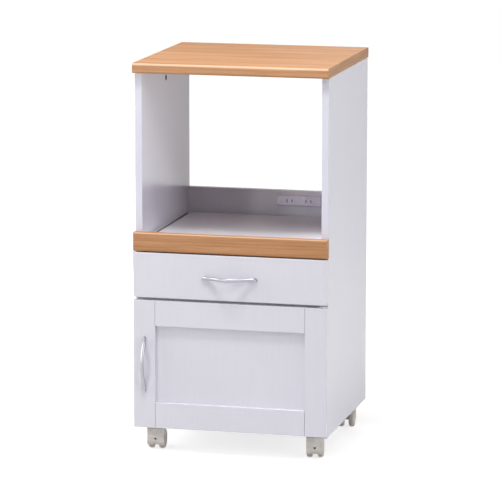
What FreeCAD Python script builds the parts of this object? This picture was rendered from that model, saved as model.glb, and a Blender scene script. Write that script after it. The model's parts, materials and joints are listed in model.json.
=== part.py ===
import FreeCAD, Part
import math
import os

from FreeCAD import Vector

# Kitchen counter cabinet on casters: an open oven bay with a sliding shelf, a drawer and a framed door.
# Millimetres, +Z up, +X to the right, -Y to the front; the origin is on the floor below the middle.

# Boards and overall sizes
cabinet_width = 480.0
side_reveal = 2.0
carcass_depth = 439.0
overall_height = 955.0
panel_thickness = 17.0
panel_edge_radius = 1.0
board_thickness = 15.0
worktop_thickness = 24.0
worktop_overhang = 17.0
worktop_upper_radius = 6.0
worktop_lower_radius = 4.0
front_thickness = 18.0
front_edge_radius = 1.5

# Heights of the fronts, from the underside of the carcass up
door_lift = 4.5
door_height = 315.0
door_top_gap = 6.5
drawer_front_height = 110.0
drawer_top_gap = 3.0
shelf_front_height = 45.0
shelf_front_radius = 3.0
shelf_lip = 18.0

# Fixed boards inside
middle_board_reveal = 4.0
cross_rail_gap = 11.5
cross_rail_depth = 60.0
rear_rail_thickness = 15.0
rear_rail_rise = 62.0
back_panel_thickness = 3.0
back_panel_inset = 6.0
groove_depth = 6.0
groove_gap = 0.1
adjustable_shelf_setback = 20.0
adjustable_shelf_gap = 1.0

# Shelf pins and their rows of holes
pin_radius = 2.5
pin_depth = 9.0
pin_reach = 8.0
pin_pitch = 32.0
pin_setback = 60.0

# Cam fittings and dowels
cam_radius = 7.5
cam_thickness = 12.0
cam_drop = 38.6
cam_spacing = 150.0
cam_slot_width = 1.6
cam_slot_depth = 2.0
bolt_radius = 3.0
bolt_reach = 11.0
dowel_radius = 4.0
dowel_length = 30.0
dowel_panel_depth = 10.0
dowel_setback = 70.0
dowel_spread = 35.0
fit_gap = 0.1
end_gap = 0.5
overrun = 1.0

# Roller slides for the shelf and the drawer
rail_steel = 1.2
rail_setback = 3.0
rail_back_room = 30.0
rail_top_flange = 7.0
rail_lip_height = 4.0
rail_lip_gap = 0.4
rail_side_gap = 1.0
rail_lift_gap = 1.4
running_gap = 0.2
runner_seat = 7.5
runner_foot = 12.0
roller_radius = 7.5
roller_width = 5.6
roller_edge = 0.6
roller_setback = 14.0
rivet_radius = 2.5
rivet_head_radius = 4.0
rivet_head = 1.0
rivet_play = 0.2
bearing_gap = 0.05

# Drawer box
drawer_rail_gap = 8.0
drawer_head_room = 11.5
drawer_back_room = 40.0
drawer_side_thickness = 12.0
drawer_bottom_thickness = 3.0
drawer_bottom_lift = 8.0
drawer_groove_depth = 5.0
shelf_back_room = 21.0

# Framed door
stile_width = 55.0
door_rail_height = 63.0
rail_bevel = 0.8
joint_groove_width = 1.0
joint_groove_depth = 2.5
panel_recess = 10.0
door_panel_thickness = 4.0
tongue_length = 7.0

# Pivot hinges at the door's right-hand corners
pivot_share = 1 / 3
swing_clearance = 0.6
hinge_steel = 2.0
hinge_margin = 1.5
hinge_leaf = 40.0
hinge_gap = 2.0
hinge_ear = 5.2
hinge_pin_radius = 2.5
hinge_pin_length = 12.0
hinge_collar_radius = 4.0

# Magnetic catch and its strike
catch_width = 44.0
catch_depth = 26.0
catch_height = 13.0
catch_offset = 70.0
catch_gap = 0.3
catch_edge = 2.0
strike_width = 36.0
strike_height = 11.0
strike_peg_radius = 1.5
strike_peg_length = 8.0

# Bow handles
handle_projection = 28.0
handle_spacing = 128.0
handle_thickness = 7.0
handle_width = 8.5
foot_width = 9.5
foot_rise = 8.0
foot_edge = 2.5
bow_steps = 12
half_share = 0.5
handle_screw_radius = 2.0
handle_screw_depth = 7.0
handle_screw_head_radius = 4.0
handle_screw_head = 2.6

# Countersunk screws of the slides, hinges and catch
screw_radius = 1.75
screw_head_radius = 3.5
screw_length = 14.0
rail_screw_shares = (0.15, 0.5, 0.85)
hinge_screw_shares = (0.3, 0.7)
catch_screw_shares = (0.2, 0.8)

# Socket strip on the rear rail
socket_x = 70.0
socket_drop = 24.6
socket_width = 115.0
socket_height = 26.0
socket_rise = 12.0
socket_edge = 3.0
socket_body_width = 100.0
socket_body_height = 19.0
outlet_spacing = 48.9
outlet_width = 26.0
outlet_height = 17.0
outlet_depth = 20.0
outlet_edge = 3.0
blade_spacing = 12.7
blade_width = 2.2
long_blade = 9.0
short_blade = 7.0
blade_depth = 16.0
outlet_gap = 0.5
cord_inlet_radius = 3.5
cord_inlet_depth = 6.0

# Twin-wheel casters
wheel_radius = 25.0
wheel_width = 15.0
wheel_spacing = 12.0
wheel_inner_edge = 5.0
wheel_outer_edge = 6.0
wheel_dish = 1.5
wheel_dish_radius = 18.0
wheel_cap = 2.5
wheel_gap = 1.2
hood_wall = 2.6
hood_edge = 1.2
hood_corner = 5.0
hood_low_angle = -24.0
hood_high_angle = 118.0
hood_rim_share = 0.75
hood_hole_radius = 2.8
hood_hole_depth = 18.0
hood_hole_rise = 3.5
shoulder_gap = 0.8
shoulder_setback = 4.0
web_gap = 0.8
hub_radius = 8.0
axle_radius = 3.0
trail = 16.0
boss_radius = 10.0
boss_rise = 4.7
kingpin_radius = 4.0
kingpin_length = 18.0
collar_radius = 8.0
collar_height = 0.7
thrust_gap = 0.3
plate_size = 38.0
plate_thickness = 2.5
plate_hole_inset = 6.0
plate_screw_head_radius = 3.6
plate_screw_head = 2.0
plate_screw_length = 12.0
caster_inset = 22.0
caster_setback = 36.5

# Places in depth
pivot_inset = front_thickness * pivot_share
pivot_to_back = front_thickness - pivot_inset
front_gap = math.hypot(pivot_inset, pivot_to_back) - pivot_to_back + swing_clearance
overall_depth = carcass_depth + front_gap + front_thickness + handle_projection
back_y = overall_depth / 2
carcass_front_y = back_y - carcass_depth
middle_y = back_y - carcass_depth / 2
front_back_y = carcass_front_y - front_gap
front_face_y = front_back_y - front_thickness
back_panel_y = back_y - back_panel_inset - back_panel_thickness
rear_rail_y = back_y - rear_rail_thickness
rail_front_y = carcass_front_y + rail_setback
rail_back_y = back_panel_y - rail_back_room
front_roller_y = rail_front_y + roller_setback
rear_roller_y = rail_back_y - roller_setback

# Heights in a slide, from the underside of its rail
roller_lift = rail_steel + running_gap + roller_radius
running_flange_lift = roller_lift + roller_radius + running_gap
rail_top_lift = running_flange_lift + rail_steel + rail_lift_gap

# Places in width
half_width = cabinet_width / 2
outer_x = half_width - side_reveal
inner_x = outer_x - panel_thickness
panel_middle_x = outer_x - panel_thickness / 2
roller_start = rail_steel + rail_side_gap + rivet_head + rivet_play
roller_end = roller_start + roller_width
slide_space = roller_start + roller_end
sliding_x = inner_x - slide_space
pivot_x = half_width - pivot_inset
pivot_y = front_face_y + pivot_inset
catch_x = catch_offset - inner_x

# Heights
hood_inner_radius = wheel_radius + wheel_gap
hood_radius = hood_inner_radius + hood_wall
boss_top_z = wheel_radius + hood_radius + boss_rise
plate_bottom_z = boss_top_z + thrust_gap + collar_height
carcass_z = plate_bottom_z + plate_thickness
panel_top_z = overall_height - worktop_thickness
bottom_board_z = carcass_z + board_thickness
door_z = carcass_z + door_lift
door_top_z = door_z + door_height
drawer_front_z = door_top_z + door_top_gap
drawer_front_top_z = drawer_front_z + drawer_front_height
shelf_front_z = drawer_front_top_z + drawer_top_gap
shelf_front_top_z = shelf_front_z + shelf_front_height
shelf_surface_z = shelf_front_top_z - shelf_lip
shelf_z = shelf_surface_z - board_thickness
shelf_rail_z = shelf_z - runner_seat
cross_rail_top_z = shelf_rail_z - cross_rail_gap
cross_rail_z = cross_rail_top_z - board_thickness
rear_rail_top_z = shelf_surface_z + rear_rail_rise
middle_board_top_z = drawer_front_z + middle_board_reveal
middle_board_z = middle_board_top_z - board_thickness
back_panel_top_z = cross_rail_z + groove_depth
drawer_rail_z = middle_board_top_z + drawer_rail_gap
drawer_z = drawer_rail_z + runner_seat
drawer_top_z = cross_rail_z - drawer_head_room
drawer_bottom_z = drawer_z + drawer_bottom_lift
drawer_back_y = back_panel_y - drawer_back_room
adjustable_shelf_z = (bottom_board_z + middle_board_z - board_thickness) / 2
cam_z = panel_top_z - cam_drop
socket_z = rear_rail_top_z - socket_drop
drawer_handle_z = (drawer_front_z + drawer_front_top_z) / 2
door_handle_x = stile_width / 2 - half_width
door_handle_z = door_z + door_height / 2
door_panel_y = front_face_y + panel_recess
lower_leaf_z = door_z - hinge_gap - hinge_steel
upper_leaf_z = door_top_z + hinge_gap + hinge_steel - hinge_leaf

# Casters: name, place of the stem and the way each one happens to be turned
axle_middle = Vector(0, trail, wheel_radius)
axle_half = wheel_spacing / 2 + wheel_width - wheel_dish - wheel_cap - end_gap
hood_shoulder_z = plate_bottom_z - plate_screw_head - shoulder_gap
caster_x = inner_x - caster_inset
caster_front_y = carcass_front_y + caster_setback
caster_rear_y = back_y - caster_setback
casters = {
    "front_left": (Vector(-caster_x, caster_front_y, 0), 6.0),
    "front_right": (Vector(caster_x, caster_front_y, 0), 10.0),
    "rear_left": (Vector(-caster_x, caster_rear_y, 0), 200.0),
    "rear_right": (Vector(caster_x, caster_rear_y, 0), 188.0),
}

across = Vector(1, 0, 0)
backward = Vector(0, 1, 0)
upward = Vector(0, 0, 1)


# Shared helpers
def block(low, high):
    """A box between two opposite corners."""
    size = high - low
    return Part.makeBox(size.x, size.y, size.z, low)


def rod(radius, start, end):
    """A round bar between two points."""
    axis = end - start
    return Part.makeCylinder(radius, axis.Length, start, axis)


def cone(start_radius, end_radius, start, end):
    """A cut cone between two points."""
    axis = end - start
    return Part.makeCone(start_radius, end_radius, axis.Length, start, axis)


def fused(pieces):
    """One solid from pieces that meet."""
    return pieces[0].multiFuse(pieces[1:]).removeSplitter()


def mirrored(shape):
    """The same shape on the other side of the cabinet."""
    return shape.mirror(Vector(), across)


def pair(shape):
    """A left-hand shape and its right-hand twin."""
    return Part.makeCompound([shape, mirrored(shape)])


def outline(start, steps):
    """A flat face round straight steps, each an end point, and arcs, each a (through, end) pair."""
    edges = []
    here = start
    for step in steps + [start]:
        if isinstance(step, tuple):
            through, end = step
            edges.append(Part.Arc(here, through, end).toShape())
        else:
            end = step
            edges.append(Part.makeLine(here, end))
        here = end
    return Part.Face(Part.Wire(edges))


def edge_middle(edge):
    return edge.valueAt((edge.FirstParameter + edge.LastParameter) / 2)


def edges_near(shape, points):
    """The edges whose middles lie nearest to the given points."""
    return [min(shape.Edges, key=lambda edge: (edge_middle(edge) - point).Length) for point in points]


def soft_front(low, high, radius):
    """A board whose front face has rounded edges."""
    board = block(low, high)
    half_depth_y = (low.y + high.y) / 2
    edges = [edge for edge in board.Edges if edge.BoundBox.YMax < half_depth_y]
    return board.makeFillet(radius, edges)


def countersunk_screw(surface, direction, sink, gap):
    """A flush screw that starts at a surface point; sink is the depth of its cone-shaped head."""
    head_end = surface + direction * sink
    tip = surface + direction * (screw_length + gap)
    head = cone(screw_head_radius + gap, screw_radius + gap, surface, head_end)
    return fused([head, rod(screw_radius + gap, surface, tip)])


# Fixings that several boards share, with a gap that is nought for the piece and small for its hole
def dowels(gap, extra):
    """Wooden dowels: across each joint of the side panels, and upright under the worktop's front."""
    board_ys = [carcass_front_y + dowel_setback, back_panel_y - dowel_setback]
    spots = [(y, carcass_z + board_thickness / 2) for y in board_ys]
    spots += [(y, middle_board_z + board_thickness / 2) for y in board_ys]
    spots.append((carcass_front_y + cross_rail_depth / 2, cross_rail_z + board_thickness / 2))
    rear_rail_middle_z = (back_panel_top_z + rear_rail_top_z) / 2
    rear_y = back_y - rear_rail_thickness / 2
    spots += [(rear_y, rear_rail_middle_z + side * dowel_spread) for side in (-1, 1)]
    bars = []
    start_x = inner_x + dowel_panel_depth + extra
    end_x = inner_x + dowel_panel_depth - dowel_length - extra
    for y, z in spots:
        bar = rod(dowel_radius + gap, Vector(start_x, y, z), Vector(end_x, y, z))
        bars += [bar, mirrored(bar)]
    upright_y = middle_y - cam_spacing
    top = Vector(panel_middle_x, upright_y, panel_top_z + dowel_panel_depth + extra)
    foot = Vector(panel_middle_x, upright_y, panel_top_z + dowel_panel_depth - dowel_length - extra)
    bar = rod(dowel_radius + gap, top, foot)
    return Part.makeCompound(bars + [bar, mirrored(bar)])


def cam_ys():
    return [middle_y, middle_y + cam_spacing]


def bolts(gap, extra):
    """Cam bolts that stand in the worktop and reach down to the middle of each cam."""
    bars = []
    for y in cam_ys():
        top = Vector(panel_middle_x, y, panel_top_z + bolt_reach + extra)
        bar = rod(bolt_radius + gap, Vector(panel_middle_x, y, cam_z), top)
        bars += [bar, mirrored(bar)]
    return Part.makeCompound(bars)


def cam_blanks(gap):
    discs = []
    for y in cam_ys():
        inner_end = Vector(inner_x + cam_thickness + gap, y, cam_z)
        disc = rod(cam_radius + gap, Vector(inner_x, y, cam_z), inner_end)
        discs += [disc, mirrored(disc)]
    return Part.makeCompound(discs)


def cams():
    """Cams with a cross slot in the face and a passage for the bolt."""
    slots = []
    for y in cam_ys():
        half_slot = cam_slot_width / 2
        half_length = cam_radius / 2
        for reach_y, reach_z in ((half_slot, half_length), (half_length, half_slot)):
            low = Vector(inner_x - overrun, y - reach_y, cam_z - reach_z)
            slot = block(low, Vector(inner_x + cam_slot_depth, y + reach_y, cam_z + reach_z))
            slots += [slot, mirrored(slot)]
    passages = bolts(fit_gap, end_gap)
    lower_room = []
    for y in cam_ys():
        foot = Vector(panel_middle_x, y, cam_z - end_gap)
        stub = rod(bolt_radius + fit_gap, foot, Vector(panel_middle_x, y, cam_z + cam_radius + overrun))
        lower_room += [stub, mirrored(stub)]
    return cam_blanks(0).cut(slots).cut(passages).cut(lower_room)


def pin_places():
    front_y = carcass_front_y + pin_setback
    rear_y = back_panel_y - pin_setback
    return [(y, adjustable_shelf_z - pin_radius) for y in (front_y, rear_y)]


def shelf_pins():
    """The four pins under the adjustable shelf."""
    pins = []
    for y, z in pin_places():
        pin = rod(pin_radius, Vector(inner_x + pin_depth, y, z), Vector(inner_x - pin_reach, y, z))
        pins += [pin, mirrored(pin)]
    return Part.makeCompound(pins)


def pin_holes():
    """Three rows of pin holes in each side panel."""
    holes = []
    for y, z in pin_places():
        for row in (-1, 0, 1):
            hole_z = z + row * pin_pitch
            deep_end = Vector(inner_x + pin_depth + end_gap, y, hole_z)
            hole = rod(pin_radius + fit_gap, deep_end, Vector(inner_x - overrun, y, hole_z))
            holes += [hole, mirrored(hole)]
    return Part.makeCompound(holes)


def rail_screws(gap):
    """Three flush screws through each cabinet rail into the side panel."""
    length = rail_back_y - rail_front_y
    head_x = inner_x - rail_steel
    screws = []
    for rail_z in (shelf_rail_z, drawer_rail_z):
        for share in rail_screw_shares:
            surface = Vector(head_x, rail_front_y + length * share, rail_z + roller_lift)
            screw = countersunk_screw(surface, across, rail_steel, gap)
            screws += [screw, mirrored(screw)]
    return screws


def hinge_screws(gap):
    """Two flush screws through each hinge leaf into the right panel's front edge."""
    screws = []
    for leaf_z in (lower_leaf_z, upper_leaf_z):
        for share in hinge_screw_shares:
            surface = Vector(panel_middle_x, carcass_front_y, leaf_z + hinge_leaf * share)
            screws.append(countersunk_screw(surface, backward, hinge_steel, gap))
    return screws


def catch_screws(gap):
    """Two flush screws up through the catch into the middle board."""
    screw_y = carcass_front_y + catch_depth / 2
    screws = []
    for share in catch_screw_shares:
        screw_x = catch_x + catch_width * (share - half_share)
        surface = Vector(screw_x, screw_y, middle_board_z - catch_height)
        screws.append(countersunk_screw(surface, upward, hinge_steel, gap))
    return screws


def carcass_screws():
    return Part.makeCompound(rail_screws(0) + hinge_screws(0) + catch_screws(0))


def plate_screws(gap):
    """Four pan-head screws up through each caster plate into the bottom board."""
    reach = plate_size / 2 - plate_hole_inset
    screws = []
    for spot, turn in casters.values():
        for side_x in (-1, 1):
            for side_y in (-1, 1):
                middle = spot + Vector(side_x * reach, side_y * reach, plate_bottom_z)
                tip = middle + upward * (plate_thickness + plate_screw_length + gap)
                head_bottom = middle - upward * plate_screw_head
                shank = rod(screw_radius + gap, middle, tip)
                screws.append(fused([shank, rod(plate_screw_head_radius, head_bottom, middle)]))
    return Part.makeCompound(screws)


# Carcass
def worktop():
    """The beech-faced top with a rounded nose along its front edge."""
    front_y = carcass_front_y - worktop_overhang
    top = block(Vector(-half_width, front_y, panel_top_z), Vector(half_width, back_y, overall_height))
    top = top.makeFillet(worktop_upper_radius, edges_near(top, [Vector(0, front_y, overall_height)]))
    top = top.makeFillet(worktop_lower_radius, edges_near(top, [Vector(0, front_y, panel_top_z)]))
    return top.cut(bolts(fit_gap, end_gap)).cut(dowels(fit_gap, end_gap))


def right_panel_board():
    """A side panel with everything that both sides have."""
    low = Vector(inner_x, carcass_front_y, carcass_z)
    panel = block(low, Vector(outer_x, back_y, panel_top_z))
    middle_z = (carcass_z + panel_top_z) / 2
    front_edges = [Vector(x, carcass_front_y, middle_z) for x in (inner_x, outer_x)]
    panel = panel.makeFillet(panel_edge_radius, edges_near(panel, front_edges))
    groove_low = Vector(inner_x - overrun, back_panel_y - groove_gap, carcass_z - overrun)
    groove_back_y = back_panel_y + back_panel_thickness + groove_gap
    groove_high = Vector(inner_x + groove_depth + groove_gap, groove_back_y, back_panel_top_z + groove_gap)
    panel = panel.cut(block(groove_low, groove_high))
    panel = panel.cut(cam_blanks(fit_gap)).cut(bolts(fit_gap, end_gap)).cut(dowels(fit_gap, end_gap))
    return panel.cut(pin_holes()).cut(rail_screws(fit_gap))


def left_side_panel():
    return mirrored(right_panel_board())


def right_side_panel():
    """The hinge side: both hinge leaves are let in flush with its front edge."""
    panel = right_panel_board()
    for leaf_z in (lower_leaf_z, upper_leaf_z):
        low = Vector(inner_x + hinge_margin - fit_gap, carcass_front_y - overrun, leaf_z - fit_gap)
        high_x = outer_x - hinge_margin + fit_gap
        high = Vector(high_x, carcass_front_y + hinge_steel, leaf_z + hinge_leaf + fit_gap)
        panel = panel.cut(block(low, high))
    return panel.cut(hinge_screws(fit_gap))


def bottom_board():
    low = Vector(-inner_x, carcass_front_y, carcass_z)
    board = block(low, Vector(inner_x, back_panel_y, bottom_board_z))
    return board.cut(dowels(fit_gap, end_gap)).cut(plate_screws(fit_gap))


def middle_board():
    low = Vector(-inner_x, carcass_front_y, middle_board_z)
    board = block(low, Vector(inner_x, back_panel_y, middle_board_top_z))
    return board.cut(dowels(fit_gap, end_gap)).cut(catch_screws(fit_gap))


def front_cross_rail():
    low = Vector(-inner_x, carcass_front_y, cross_rail_z)
    board = block(low, Vector(inner_x, carcass_front_y + cross_rail_depth, cross_rail_top_z))
    return board.cut(dowels(fit_gap, end_gap))


def rear_socket_rail():
    """The low rail across the back, with a cut-out for the socket and a groove for the back panel."""
    rail = block(Vector(-inner_x, rear_rail_y, cross_rail_z), Vector(inner_x, back_y, rear_rail_top_z))
    groove_low = Vector(-half_width, back_panel_y - groove_gap, cross_rail_z - overrun)
    groove_back_y = back_panel_y + back_panel_thickness + groove_gap
    rail = rail.cut(block(groove_low, Vector(half_width, groove_back_y, back_panel_top_z + groove_gap)))
    reach = Vector(socket_body_width / 2 + fit_gap, 0, socket_body_height / 2 + fit_gap)
    middle = Vector(socket_x, 0, socket_z)
    window_front = backward * (rear_rail_y - overrun)
    window_back = backward * (back_y + overrun)
    window = block(middle - reach + window_front, middle + reach + window_back)
    return rail.cut(window).cut(dowels(fit_gap, end_gap))


def back_panel():
    half = inner_x + groove_depth
    high = Vector(half, back_panel_y + back_panel_thickness, back_panel_top_z)
    return block(Vector(-half, back_panel_y, carcass_z), high)


def adjustable_shelf():
    half = inner_x - adjustable_shelf_gap
    front_y = carcass_front_y + adjustable_shelf_setback
    low = Vector(-half, front_y, adjustable_shelf_z)
    rear_y = back_panel_y - adjustable_shelf_gap
    return block(low, Vector(half, rear_y, adjustable_shelf_z + board_thickness))


# Socket strip
def socket_block(middle, width, height, front_y, rear_y):
    reach = Vector(width / 2, 0, height / 2)
    return block(middle - reach + backward * front_y, middle + reach + backward * rear_y)


def outlet_middles():
    return [Vector(socket_x + side * outlet_spacing / 2, 0, socket_z) for side in (-1, 1)]


def outlet_blank(middle, gap):
    """The rounded insert of one outlet, or its pocket."""
    front_y = rear_rail_y - socket_rise
    rear_y = front_y + outlet_depth + gap
    blank = socket_block(middle, outlet_width + gap, outlet_height + gap, front_y, rear_y)
    long_edges = [edge for edge in blank.Edges if edge.BoundBox.YLength > outlet_depth / 2]
    return blank.makeFillet(outlet_edge, long_edges)


def socket_housing():
    """The white strip: a raised face, a body through the rail, two pockets and the cord's way in."""
    middle = Vector(socket_x, 0, socket_z)
    front_y = rear_rail_y - socket_rise
    half = Vector(socket_width / 2, 0, socket_height / 2)
    face_high = middle + half + backward * rear_rail_y
    face = soft_front(middle - half + backward * front_y, face_high, socket_edge)
    body = socket_block(middle, socket_body_width, socket_body_height, rear_rail_y - socket_edge, back_y)
    housing = fused([face, body])
    for outlet in outlet_middles():
        housing = housing.cut(outlet_blank(outlet, outlet_gap))
    inlet_mouth = middle + backward * (back_y + overrun)
    inlet_end = middle + backward * (back_y - cord_inlet_depth)
    return housing.cut(rod(cord_inlet_radius, inlet_mouth, inlet_end))


def socket_outlets():
    """Two inserts, each with a long and a short blade slot."""
    front_y = rear_rail_y - socket_rise
    inserts = []
    for outlet in outlet_middles():
        insert = outlet_blank(outlet, 0)
        for side, height in ((-1, long_blade), (1, short_blade)):
            slot_middle = outlet + across * (side * blade_spacing / 2)
            slot_end_y = front_y + blade_depth
            slot = socket_block(slot_middle, blade_width, height, front_y - overrun, slot_end_y)
            insert = insert.cut(slot)
        inserts.append(insert)
    return Part.makeCompound(inserts)


# Roller slides, made on the left; reach is the distance from the side panel's inner face
def strip(near, far, front_y, rear_y, low_z, high_z):
    """A bar of slide steel given by its reach from the panel, its length and its heights."""
    return block(Vector(near - inner_x, front_y, low_z), Vector(far - inner_x, rear_y, high_z))


def cabinet_rail(rail_z):
    """The fixed channel on the side panel, with the rivet for its front roller."""
    far = slide_space - rail_steel - rail_lip_gap
    top_z = rail_z + rail_top_lift
    pieces = [
        strip(0, rail_steel, rail_front_y, rail_back_y, rail_z, top_z + rail_steel),
        strip(0, far, rail_front_y, rail_back_y, rail_z, rail_z + rail_steel),
        strip(far - rail_steel, far, rail_front_y, rail_back_y, rail_z, rail_z + rail_lip_height),
        strip(0, rail_top_flange, rail_front_y, rail_back_y, top_z, top_z + rail_steel),
        rivet(rail_z, front_roller_y, rail_steel, roller_end + rivet_play, rivet_head),
    ]
    return fused(pieces).cut(rail_screws(fit_gap))


def runner(rail_z):
    """The moving member under the shelf or the drawer side, with the rivet for its rear roller."""
    near = slide_space - rail_steel
    flange_reach = rail_steel + rail_side_gap
    flange_z = rail_z + running_flange_lift
    seat_z = rail_z + runner_seat
    pieces = [
        strip(near, slide_space, front_back_y, rail_back_y, seat_z - rail_steel, flange_z + rail_steel),
        strip(flange_reach, slide_space, front_back_y, rail_back_y, flange_z, flange_z + rail_steel),
        strip(near, slide_space + runner_foot, front_back_y, rail_back_y, seat_z - rail_steel, seat_z),
        rivet(rail_z, rear_roller_y, near, roller_start - rivet_play, -rivet_head),
    ]
    return fused(pieces)


def rivet(rail_z, roller_y, root, end, head):
    """A roller's pin from the steel it is fixed in to its flat head."""
    axle_z = rail_z + roller_lift
    points = [Vector(reach - inner_x, roller_y, axle_z) for reach in (root, end, end + head)]
    return fused([rod(rivet_radius, points[0], points[1]), rod(rivet_head_radius, points[1], points[2])])


def roller(rail_z, roller_y):
    axle_z = rail_z + roller_lift
    start = Vector(roller_start - inner_x, roller_y, axle_z)
    end = Vector(roller_end - inner_x, roller_y, axle_z)
    wheel = rod(roller_radius, start, end)
    rims = [edge for edge in wheel.Edges if edge.BoundBox.XLength < roller_edge]
    wheel = wheel.makeChamfer(roller_edge, rims)
    reach = across * overrun
    return wheel.cut(rod(rivet_radius + bearing_gap, start - reach, end + reach))


# Sliding shelf
def shelf_board():
    rear_y = rear_rail_y - shelf_back_room
    return block(Vector(-sliding_x, front_back_y, shelf_z), Vector(sliding_x, rear_y, shelf_surface_z))


def shelf_front():
    """The beech-faced strip that stands above the shelf as a lip."""
    low = Vector(-half_width, front_face_y, shelf_front_z)
    return soft_front(low, Vector(half_width, front_back_y, shelf_front_top_z), shelf_front_radius)


# Drawer
def drawer_bottom():
    half = sliding_x - drawer_side_thickness + drawer_groove_depth
    high = Vector(half, drawer_back_y, drawer_bottom_z + drawer_bottom_thickness)
    return block(Vector(-half, front_back_y - drawer_groove_depth, drawer_bottom_z), high)


def drawer_groove():
    """The room that the drawer bottom takes in the front and the sides."""
    gap = Vector(groove_gap, groove_gap, groove_gap)
    bounds = drawer_bottom().BoundBox
    low = Vector(bounds.XMin, bounds.YMin, bounds.ZMin) - gap
    return block(low, Vector(bounds.XMax, bounds.YMax + overrun, bounds.ZMax) + gap)


def drawer_front():
    low = Vector(-half_width, front_face_y, drawer_front_z)
    front = soft_front(low, Vector(half_width, front_back_y, drawer_front_top_z), front_edge_radius)
    return front.cut(drawer_groove()).cut(drawer_handle_screws(fit_gap))


def drawer_side():
    """The left side of the drawer box."""
    high = Vector(drawer_side_thickness - sliding_x, drawer_back_y, drawer_top_z)
    return block(Vector(-sliding_x, front_back_y, drawer_z), high).cut(drawer_groove())


def drawer_back():
    half = sliding_x - drawer_side_thickness
    low = Vector(-half, drawer_back_y - drawer_side_thickness, drawer_bottom_z + drawer_bottom_thickness)
    return block(low, Vector(half, drawer_back_y, drawer_top_z))


# Framed door
def door_groove():
    """The room that the door panel and the rails' tongues take in the frame."""
    front_y = door_panel_y - groove_gap
    rear_y = door_panel_y + door_panel_thickness + groove_gap
    half = half_width - stile_width + tongue_length + groove_gap
    return block(Vector(-half, front_y, door_z - overrun), Vector(half, rear_y, door_top_z + overrun))


def door_panel():
    half = half_width - stile_width + tongue_length
    low_z = door_z + door_rail_height - tongue_length
    high_z = door_top_z - door_rail_height + tongue_length
    rear_y = door_panel_y + door_panel_thickness
    return block(Vector(-half, door_panel_y, low_z), Vector(half, rear_y, high_z))


def door_stile():
    """The left stile: rounded outside, with a shadow groove along the joint, and grooved for the panel."""
    joint_x = stile_width - half_width
    low = Vector(-half_width, front_face_y, door_z)
    stile = block(low, Vector(joint_x, front_back_y, door_top_z))
    groove_low = Vector(joint_x - joint_groove_width, front_face_y - overrun, door_z - overrun)
    groove_high = Vector(joint_x + overrun, front_face_y + joint_groove_depth, door_top_z + overrun)
    stile = stile.cut(block(groove_low, groove_high))
    outer_edge = edges_near(stile, [Vector(-half_width, front_face_y, door_handle_z)])
    return stile.makeFillet(front_edge_radius, outer_edge).cut(door_groove())


def door_left_stile():
    return door_stile().cut(door_handle_screws(fit_gap))


def door_right_stile():
    """The hinge stile, bored at both ends for the hinge pins."""
    stile = mirrored(door_stile())
    radius = hinge_pin_radius + bearing_gap
    depth = hinge_pin_length - hinge_gap + end_gap
    for end_z, inside in ((door_z, 1), (door_top_z, -1)):
        outside_end = Vector(pivot_x, pivot_y, end_z - inside * overrun)
        stile = stile.cut(rod(radius, outside_end, Vector(pivot_x, pivot_y, end_z + inside * depth)))
    return stile


def door_rail(low_z, high_z, panel_edge_z, inside):
    """A rail between the stiles with a tongue at each end and a groove along the panel."""
    half = half_width - stile_width
    rail = block(Vector(-half, front_face_y, low_z), Vector(half, front_back_y, high_z))
    inner_edge = edges_near(rail, [Vector(0, front_face_y, panel_edge_z)])
    rail = rail.makeChamfer(rail_bevel, inner_edge)
    tongue_half = half + tongue_length
    tongue_low = Vector(-tongue_half, door_panel_y, low_z)
    tongue = block(tongue_low, Vector(tongue_half, door_panel_y + door_panel_thickness, high_z))
    groove_end_z = panel_edge_z - inside * (tongue_length + groove_gap)
    groove_low_z, groove_high_z = sorted([groove_end_z, panel_edge_z + inside * overrun])
    groove_low = Vector(-half_width, door_panel_y - groove_gap, groove_low_z)
    groove_rear_y = door_panel_y + door_panel_thickness + groove_gap
    return fused([rail, tongue]).cut(block(groove_low, Vector(half_width, groove_rear_y, groove_high_z)))


def door_bottom_rail():
    edge_z = door_z + door_rail_height
    return door_rail(door_z, edge_z, edge_z, 1)


def door_top_rail():
    """The top rail, with the hole for the strike's peg."""
    edge_z = door_top_z - door_rail_height
    return door_rail(edge_z, door_top_z, edge_z, -1).cut(strike_peg(fit_gap))


# Pivot hinges, catch and strike
def hinge_plate(leaf_z, ear_z, inside):
    """A leaf in the panel's edge, an ear over the door's end, and a pin with a collar into the door."""
    near_x = inner_x + hinge_margin
    leaf_high = Vector(outer_x - hinge_margin, carcass_front_y + hinge_steel, leaf_z + hinge_leaf)
    leaf = block(Vector(near_x, carcass_front_y, leaf_z), leaf_high)
    ear_top_z = ear_z + hinge_steel
    ear_low = Vector(near_x, pivot_y, ear_z)
    ear = block(ear_low, Vector(pivot_x + hinge_ear, carcass_front_y + hinge_steel, ear_top_z))
    nose = block(Vector(near_x, pivot_y - hinge_ear, ear_z), Vector(pivot_x, pivot_y, ear_top_z))
    pivot = Vector(pivot_x, pivot_y, ear_z)
    tip = rod(hinge_ear, pivot, pivot + upward * hinge_steel)
    face = pivot + upward * (hinge_steel * (inside + 1) / 2)
    pin = rod(hinge_pin_radius, face, face + upward * (inside * hinge_pin_length))
    collar = rod(hinge_collar_radius, face, face + upward * (inside * (hinge_gap - running_gap)))
    plate = fused([leaf, ear, nose, tip, pin, collar])
    trim_low = Vector(outer_x - hinge_margin, carcass_front_y, ear_z - overrun)
    trim = block(trim_low, Vector(half_width, back_y, ear_top_z + overrun))
    return plate.cut(trim).cut(hinge_screws(fit_gap))


def hinge_plates():
    lower = hinge_plate(lower_leaf_z, lower_leaf_z, 1)
    upper = hinge_plate(upper_leaf_z, upper_leaf_z + hinge_leaf - hinge_steel, -1)
    return Part.makeCompound([lower, upper])


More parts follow.
